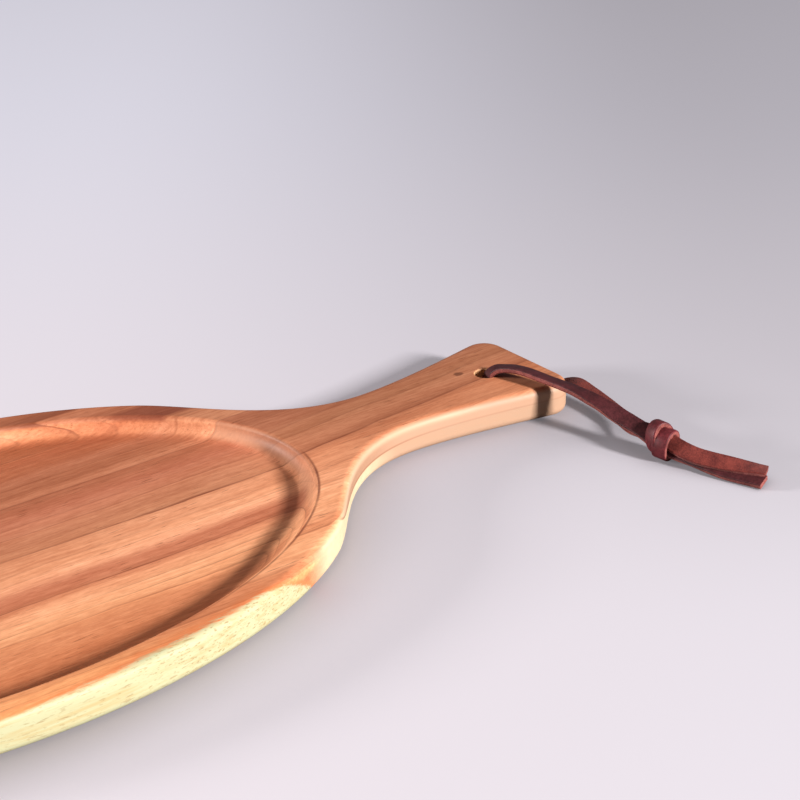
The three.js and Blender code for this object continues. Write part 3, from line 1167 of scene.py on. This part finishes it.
    def carved(self) -> bpy.types.Mesh:
        """Cut the dish, hollow and hole out of the blank.

        Returns:
            The whole board as one mesh, before it is parted at the glue line.
        """
        blank = mesh_object("board_blank", self.blank(), ())
        solids = {"dish": self.dish_cutter(), "hollow": self.hollow_cutter(), "hole": self.hole_cutter()}
        cutters = [mesh_object(name, bm, ()) for name, bm in solids.items()]
        for cutter in cutters:
            cut = blank.modifiers.new(cutter.name, "BOOLEAN")
            cut.operation = "DIFFERENCE"
            cut.solver = "EXACT"
            cut.object = cutter
        graph = bpy.context.evaluated_depsgraph_get()
        mesh = bpy.data.meshes.new_from_object(blank.evaluated_get(graph), depsgraph=graph)
        for obj in [blank, *cutters]:
            bpy.data.objects.remove(obj, do_unlink=True)
        return mesh

    def stave(self, name: str, whole: bpy.types.Mesh, far: bool, finish: WoodFinish) -> bpy.types.Object:
        """Part the board at the glue line and keep one side.

        Args:
            name: Name of the piece.
            whole: The carved board.
            far: True for the side beyond the glue line.
            finish: The stave's wood.

        Returns:
            The stave.
        """
        bm = bmesh.new()
        bm.from_mesh(whole)
        cut = bmesh.ops.bisect_plane(
            bm,
            geom=bm.verts[:] + bm.edges[:] + bm.faces[:],
            plane_co=(0.0, self.glue_line * MM, 0.0),
            plane_no=(0.0, 1.0, 0.0),
            clear_inner=far,
            clear_outer=not far,
        )
        edges = [e for e in cut["geom_cut"] if isinstance(e, bmesh.types.BMEdge)]
        bmesh.ops.contextual_create(bm, geom=edges)
        bmesh.ops.recalc_face_normals(bm, faces=bm.faces)
        obj = mesh_object(name, bm, [finish.build()])
        even = obj.modifiers.new("even_shading", "WEIGHTED_NORMAL")
        even.mode = "FACE_AREA"
        even.weight = 60
        even.keep_sharp = True
        return obj

    def build(self) -> None:
        """Make both staves and put them on the board's body."""
        whole = self.carved()
        for node, far, finish, slot in (
            ("main_stave", False, CHERRY_NEAR, "cherry_main"),
            ("far_stave", True, CHERRY_FAR, "cherry_far"),
        ):
            obj = self.stave(f"{node}_wood", whole, far, finish)
            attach(obj, "board")
            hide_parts(node)
            LOG.info("%s: %d faces", obj.name, len(obj.data.polygons))
        bpy.data.meshes.remove(whole)


@dataclass
class Lace:
    """Flat leather lace: swept from stops of place, heading and roll. Millimetres and degrees."""

    width: float = 6.0
    thickness: float = 2.0
    corner: float = 0.45
    step: float = 1.0
    grain_up: bool = True
    grain: LaceSide = LaceSide.GRAIN

    def section(self) -> list[tuple[float, float]]:
        """Draw the lace's rounded section, counter-clockwise seen along the lace.

        Returns:
            Places across and through the lace, in millimetres.
        """
        r = self.corner
        w, t = self.width / 2.0 - r, self.thickness / 2.0 - r
        points = []
        for cx, cy, start in ((w, t, 0.0), (-w, t, 90.0), (-w, -t, 180.0), (w, -t, 270.0)):
            for i in range(4):
                angle = math.radians(start + 30.0 * i)
                points.append((cx + r * math.cos(angle), cy + r * math.sin(angle)))
        return points

    @staticmethod
    def on_span(places: Sequence[Vector], u: float) -> Vector:
        """Find a point between the middle two of four places, on a smooth curve through them.

        Args:
            places: The four places.
            u: Share of the way between the middle two.

        Returns:
            The point.
        """
        p0, p1, p2, p3 = places
        gaps = [max((b - a).length, 1e-6) ** 0.5 for a, b in zip(places, places[1:])]
        m1 = (p1 - p0) / gaps[0] - (p2 - p0) / (gaps[0] + gaps[1]) + (p2 - p1) / gaps[1]
        m2 = (p2 - p1) / gaps[1] - (p3 - p1) / (gaps[1] + gaps[2]) + (p3 - p2) / gaps[2]
        m1, m2 = m1 * gaps[1], m2 * gaps[1]
        a = 2.0 * p1 - 2.0 * p2 + m1 + m2
        b = -3.0 * p1 + 3.0 * p2 - 2.0 * m1 - m2
        return ((a * u + b) * u + m1) * u + p1

    def frames(self, stops: Sequence[Stop]) -> list[Matrix]:
        """Follow a smooth route through the stops; it runs out straight past both ends.

        Args:
            stops: X, Y, Z in millimetres, then heading and roll in degrees.

        Returns:
            A placed frame for each step: X along the lace, Y to its left, Z out of its grain side.
        """
        places = [Vector(stop[:3]) for stop in stops]
        places = [2.0 * places[0] - places[1], *places, 2.0 * places[-1] - places[-2]]
        samples: list[tuple[Vector, float, float]] = []
        for i, (here, there) in enumerate(zip(stops, stops[1:])):
            count = max(2, round((places[i + 2] - places[i + 1]).length / self.step))
            turn = (there[3] - here[3] + 180.0) % 360.0 - 180.0
            for u in (k / count for k in range(count)):
                share = ease(u, 0.0, 1.0)
                place = self.on_span(places[i : i + 4], u)
                samples.append((place, here[3] + turn * share, here[4] + (there[4] - here[4]) * share))
        samples.append((places[-2], stops[-1][3], stops[-1][4]))
        frames = []
        for i, (place, heading, roll) in enumerate(samples):
            before, after = samples[max(i - 1, 0)][0], samples[min(i + 1, len(samples) - 1)][0]
            along = (after - before).normalized()
            left = Vector((-math.sin(math.radians(heading)), math.cos(math.radians(heading)), 0.0))
            left = (left - along * left.dot(along)).normalized()
            left.rotate(Quaternion(along, math.radians(roll)))
            up = along.cross(left)
            frames.append(Matrix.Translation(place * MM) @ Matrix((along, left, up)).transposed().to_4x4())
        return frames

    def sweep(self, name: str, frames: Sequence[Matrix], closed: bool = False) -> bpy.types.Object:
        """Draw the section along a route, step by step, and dress its three sides.

        Args:
            name: Name of the piece.
            frames: A placed frame for each step.
            closed: True where the last step joins the first.

        Returns:
            The lace as one closed mesh.
        """
        bm = bmesh.new()
        section = self.section()
        verts = [bm.verts.new(frames[0] @ Vector((0.0, a * MM, b * MM))) for a, b in section]
        ring = [bm.edges.new((verts[i], verts[(i + 1) % len(verts)])) for i in range(len(verts))]
        first = ring
        for here, there in zip(frames, frames[1:]):
            out = bmesh.ops.extrude_edge_only(bm, edges=ring)["geom"]
            moved = [v for v in out if isinstance(v, bmesh.types.BMVert)]
            bmesh.ops.transform(bm, matrix=there @ here.inverted(), verts=moved)
            self.sort_sides([f for f in out if isinstance(f, bmesh.types.BMFace)], here, there)
            ring = [e for e in out if isinstance(e, bmesh.types.BMEdge) and all(v in moved for v in e.verts)]
        if closed:
            joined = bmesh.ops.bridge_loops(bm, edges=first + ring)["faces"]
            self.sort_sides(joined, frames[-1], frames[0])
        else:
            for loop in (first, ring):
                caps = bmesh.ops.contextual_create(bm, geom=loop)["faces"]
                for face in caps:
                    face.material_index = LaceSide.CUT.value
        bmesh.ops.recalc_face_normals(bm, faces=bm.faces)
        sides = (self.grain, LaceSide.FLESH, LaceSide.CUT)
        return mesh_object(name, bm, [LACE_MATERIALS[side] for side in sides])

    def sort_sides(self, faces: Sequence[bmesh.types.BMFace], here: Matrix, there: Matrix) -> None:
        """Give each new face the surface that it belongs to: grain, flesh or cut edge.

        Args:
            faces: Faces between two steps.
            here: Frame of the earlier step.
            there: Frame of the later step.
        """
        limit = (self.thickness / 2.0 - self.corner * 0.85) * MM
        share = 0.5 if self.grain_up else -0.5
        for face in faces:
            centre = face.calc_center_median()
            out = share * ((here.inverted() @ centre).z + (there.inverted() @ centre).z)
            side = LaceSide.GRAIN if out > limit else LaceSide.FLESH if out < -limit else LaceSide.CUT
            face.material_index = side.value


LACE_MATERIALS = {side: finish.build() for side, finish in LACE_FINISHES.items()}


@dataclass
class Thong:
    """The doubled lace and its knot. Stops count from the hole's axis and the table, in millimetres."""

    lace: Lace
    hole_x: float
    top: float = TOP_Z
    heading: float = -74.5
    knot_place: tuple[float, float, float] = (18.5, -72.0, 6.8)
    knot_width: float = 5.6

    def upper_stops(self) -> list[Stop]:
        """Route the half that leaves over the handle's top and ends in the lower tail.

        Returns:
            Its stops from the middle of the hole on.
        """
        h, top = self.heading, self.top
        return [
            (0.0, 0.0, 6.4, -14.0, 0.0),
            (0.9, -0.7, top - 1.8, -18.0, 0.0),
            (1.6, -2.6, top + 1.3, -44.0, 0.0),
            (3.4, -6.8, top + 3.2, -68.0, -6.0),
            (5.4, -13.6, top + 4.2, -72.0, -9.0),
            (8.4, -24.6, top + 3.4, h, -10.0),
            (10.5, -35.1, 15.4, h, -6.0),
            (12.7, -45.8, 13.6, h, 10.0),
            (15.1, -55.0, 10.7, h, 34.0),
            (16.9, -65.2, 8.2, h, 32.0),
            (17.9, -72.0, 5.8, h, 36.0),
            (20.4, -78.4, 4.0, h, 36.0),
            (22.2, -85.6, 3.5, -74.0, 36.0),
            (24.6, -95.6, 2.3, -66.0, 22.0),
            (29.8, -110.2, 1.9, -65.0, 14.0),
        ]

    def lower_stops(self) -> list[Stop]:
        """Route the half that leaves under the handle's end and ends in the upper tail.

        Returns:
            Its stops from the middle of the hole on.
        """
        h = self.heading
        return [
            (0.0, 0.0, 6.1, -24.0, 0.0),
            (0.0, 0.0, 3.5, -24.0, 0.0),
            (2.6, -1.2, 1.5, -24.0, 0.0),
            (11.0, -4.9, 1.43, -24.0, 0.0),
            (22.8, -10.2, 1.48, -27.0, 0.0),
            (27.0, -12.7, 4.6, -46.0, 5.0),
            (28.5, -17.6, 6.4, -74.0, 10.0),
            (28.2, -25.0, 5.8, -90.0, 12.0),
            (27.8, -32.0, 4.8, -94.0, 14.0),
            (26.6, -39.5, 4.1, -96.0, 18.0),
            (24.4, -47.7, 4.1, -96.0, 26.0),
            (21.2, -56.0, 5.2, -88.0, 34.0),
            (20.0, -65.5, 7.0, h, 36.0),
            (20.0, -72.0, 7.4, h, 40.0),
            (19.9, -78.3, 6.4, h, 40.0),
            (21.2, -85.6, 5.4, -70.0, 38.0),
            (25.2, -94.6, 4.8, -62.0, 33.0),
            (33.6, -107.9, 3.7, -57.0, 4.0),
        ]

    def moved(self, stops: Sequence[Stop]) -> list[Stop]:
        """Count stops from the board's origin instead of the hole's axis."""
        return [(s[0] + self.hole_x, *s[1:]) for s in stops]

    def turn_of_lace(
        self, name: str, across: float, high: float, shift: float, lift: float, yaw: float, pitch: float
    ) -> bpy.types.Object:
        """Wrap one turn of lace round the knot.

        Args:
            name: Name of the piece.
            across: Half width of the turn's middle line.
            high: Half height of the turn's middle line.
            shift: Place along the knot, toward the tails.
            lift: Height of the turn's middle over the knot's.
            yaw: Turn of the wrap about the vertical, in degrees.
            pitch: Lean of the wrap toward the tails, in degrees.

        Returns:
            The wrapped turn.
        """
        place = Vector(self.knot_place) + Vector((self.hole_x, 0.0, 0.0))
        turn = Matrix.Rotation(math.radians(self.heading), 4, "Z")
        tilt = Matrix.Rotation(math.radians(yaw), 4, "Z") @ Matrix.Rotation(math.radians(pitch), 4, "Y")
        base = Matrix.Translation(place * MM) @ turn @ Matrix.Translation((shift * MM, 0.0, lift * MM)) @ tilt
        steps = 72
        frames = []
        for i in range(steps):
            angle = 2.0 * math.pi * i / steps
            out = Vector((0.0, math.cos(angle) / across, math.sin(angle) / high)).normalized()
            spot = Vector((0.0, across * math.cos(angle), high * math.sin(angle)))
            along = Vector((1.0, 0.0, 0.0)).cross(out)
            left = out.cross(along)
            axes = Matrix((along, left, out)).transposed().to_4x4()
            frames.append(base @ Matrix.Translation(spot * MM) @ axes)
        # The knot's turns take the lighter grain, as painted light.
        tight = replace(self.lace, width=self.knot_width, grain=LaceSide.KNOT_LIT)
        return tight.sweep(name, frames, closed=True)

    def build(self) -> None:
        """Make both halves and the knot, and put them on the thong's body."""
        turn = self.turn_of_lace
        turns = [
            turn("knot_square_turn", across=4.2, high=4.9, shift=1.7, lift=-0.7, yaw=-2.0, pitch=5.0),
            turn("knot_slanted_turn", across=3.6, high=5.2, shift=-0.5, lift=0.9, yaw=-28.0, pitch=-10.0),
            turn("knot_inner_turn", across=2.2, high=2.8, shift=0.9, lift=-0.5, yaw=-6.0, pitch=0.0),
        ]
        for obj in turns:
            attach(obj, "thong")
            LOG.info("%s: %d faces", obj.name, len(obj.data.polygons))
        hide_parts("thong_knot")
        flipped = replace(self.lace, grain_up=False)
        upper_nodes = ("thong_upper_run", "thong_tail_lower")
        lower_nodes = ("thong_lower_run", "thong_tail_upper")
        halves = (
            ("thong_upper_half", self.lace, self.upper_stops(), upper_nodes, self.top, turns),
            ("thong_lower_half", flipped, self.lower_stops(), lower_nodes, 0.0, []),
        )
        for name, lace, stops, nodes, leaves, pieces in halves:
            frames = lace.frames(self.moved(stops))
            obj = lace.sweep(name, frames)
            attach(obj, "thong")
            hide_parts(*nodes)


@dataclass
class Studio:
    """Camera, lamps, pale table and surround."""

    eye: tuple[float, float, float] = (-0.32723, -0.57360, 0.35763)
    look: tuple[float, float, float] = (0.57083, 0.70405, -0.42245)
    lens: float = 103.5
    aim: tuple[float, float, float] = (0.06, -0.03, 0.0)
    key_level: float = 1.92
    fill_level: float = 1.25
    surround: float = 0.04
    backdrop: float = 0.8
    surround_tone: Colour = (0.90, 0.88, 0.94, 1.0)

    def camera(self) -> None:
        """Stand the camera where the photograph was taken from."""
        data = bpy.data.cameras.new("camera")
        data.lens = self.lens
        data.sensor_width = 36.0
        data.clip_start = 0.01
        obj = bpy.data.objects.new("camera", data)
        obj.location = self.eye
        obj.rotation_euler = Vector(self.look).to_track_quat("-Z", "Y").to_euler()
        bpy.context.collection.objects.link(obj)
        bpy.context.scene.camera = obj

    def lamp(
        self, name: str, azimuth: float, rise: float, distance: float, wide: float, high: float, level: float
    ) -> None:
        """Hang an area lamp that lights the tray from a direction at a level.

        Args:
            name: Name of the lamp.
            azimuth: Direction from the tray to the lamp, in degrees from +X toward +Y.
            rise: Height of the lamp over the table, in degrees.
            distance: Distance from the tray, in metres.
            wide: Width, in metres.
            high: Height, in metres.
            level: Light on a surface square to it, where 1 shows a colour as written.
        """
        data = bpy.data.lights.new(name, "AREA")
        data.shape = "RECTANGLE"
        data.size, data.size_y = wide, high
        data.energy = level * math.pi**2 * distance**2
        obj = bpy.data.objects.new(name, data)
        turn, lift = math.radians(azimuth), math.radians(rise)
        away = Vector((math.cos(lift) * math.cos(turn), math.cos(lift) * math.sin(turn), math.sin(lift)))
        obj.location = Vector(self.aim) + away * distance
        obj.rotation_euler = (-away).to_track_quat("-Z", "Y").to_euler()
        bpy.context.collection.objects.link(obj)

    def table_colour(self, t: Tree) -> Socket:
        """Colour the table with painted light and shade: a falloff across it, darker toward its far right,
        and painted contact shade round the tray.

        Args:
            t: The material's tree.

        Returns:
            The table's colour.
        """
        x, y, _ = t.object_millimetres()
        across = t.math("MULTIPLY_ADD", x, 0.777, t.math("MULTIPLY", y, -0.63))
        away = t.math("MULTIPLY_ADD", x, 0.63, t.math("MULTIPLY", y, 0.777))
        # Painted light: the table is lighter or darker across and away from the camera, as the lamps fall
        # off.
        right = t.smooth(across, -60.0, 280.0)
        near_tone = t.mix(right, seen(232, 222, 228), seen(219, 212, 219))
        far_tone = t.mix(right, seen(230, 227, 239), seen(200, 196, 205))
        colour = t.mix(t.smooth(away, -80.0, 520.0), near_tone, far_tone)
        # Painted shade toward the table's far right.
        middle = t.product(right, t.smooth(away, -60.0, 160.0), 0.75)
        colour = t.mix(middle, colour, TABLE_MIDDLE_SHADE, "MULTIPLY")
        # Painted contact shade: darker where the tray crowds the table in, and round the tray's outline, most
        # to the left.
        nearby = t.nodes.new("ShaderNodeAmbientOcclusion")
        nearby.inputs["Distance"].default_value = 60.0 * MM
        contact_shade = t.linear(nearby.outputs["AO"], 0.5, 0.95, 0.66, 1.0)
        deep = t.smooth(x, 20.0, -80.0, 0.9, 0.76)
        under = t.smooth(t.oval(x, y, OUTLINE_OVAL), 1.0, 1.26, deep, 1.04)
        return t.tint(colour, t.math("MULTIPLY", contact_shade, under))

    def table(self) -> None:
        """Lay a wide pale table just under the tray; it looks brighter than the light that it throws back."""
        bm = bmesh.new()
        bmesh.ops.create_grid(bm, x_segments=8, y_segments=8, size=4.0)
        carry(bm, 0.0, -0.05)
        t = Tree("pale_table")
        colour = self.table_colour(t)
        eye = t.nodes.new("ShaderNodeLightPath").outputs["Is Camera Ray"]
        t.put(t.shader.inputs["Base Color"], t.tint(colour, t.linear(eye, 0.0, 1.0, 0.4, 0.68)))
        t.put(t.shader.inputs["Emission Color"], colour)
        t.put(t.shader.inputs["Emission Strength"], t.math("MULTIPLY", eye, 0.29))
        t.shader.inputs["Roughness"].default_value = 0.7
        t.shader.inputs["Specular IOR Level"].default_value = 0.2
        mesh_object("table", bm, [t.material])

    def world(self) -> None:
        """Surround the scene with pale light, brighter to the eye than on the object."""
        world = bpy.data.worlds.new("surround")
        world.use_nodes = True
        nodes, links = world.node_tree.nodes, world.node_tree.links
        background = nodes["Background"]
        background.inputs["Color"].default_value = self.surround_tone
        path = nodes.new("ShaderNodeLightPath")
        level = nodes.new("ShaderNodeMapRange")
        links.new(path.outputs["Is Camera Ray"], level.inputs[0])
        level.inputs[3].default_value = self.surround
        level.inputs[4].default_value = self.backdrop
        for kind, share in (("Is Glossy Ray", 0.2), ("Is Transmission Ray", 0.7)):
            more = nodes.new("ShaderNodeMath")
            more.operation = "MULTIPLY_ADD"
            links.new(path.outputs[kind], more.inputs[0])
            more.inputs[1].default_value = share
            links.new(level.outputs[0], more.inputs[2])
            level = more
        links.new(level.outputs[0], background.inputs["Strength"])
        bpy.context.scene.world = world

    def build(self) -> None:
        """Set the stage."""
        self.camera()
        self.world()
        self.lamp("key", azimuth=-72.0, rise=24.5, distance=2.2, wide=0.28, high=0.36, level=self.key_level)
        self.lamp("fill", azimuth=141.0, rise=12.0, distance=2.0, wide=0.5, high=0.25, level=self.fill_level)
        self.table()
        bpy.context.scene.view_settings.view_transform = "Standard"


def main() -> None:
    """Build the stage, the thong and the board, and note the size of the result."""
    logging.basicConfig(level=logging.INFO, format="%(message)s")
    Studio().build()
    board = Board()
    Thong(lace=Lace(), hole_x=board.hole_x).build()
    board.build()


if __name__ == "__main__":
    main()
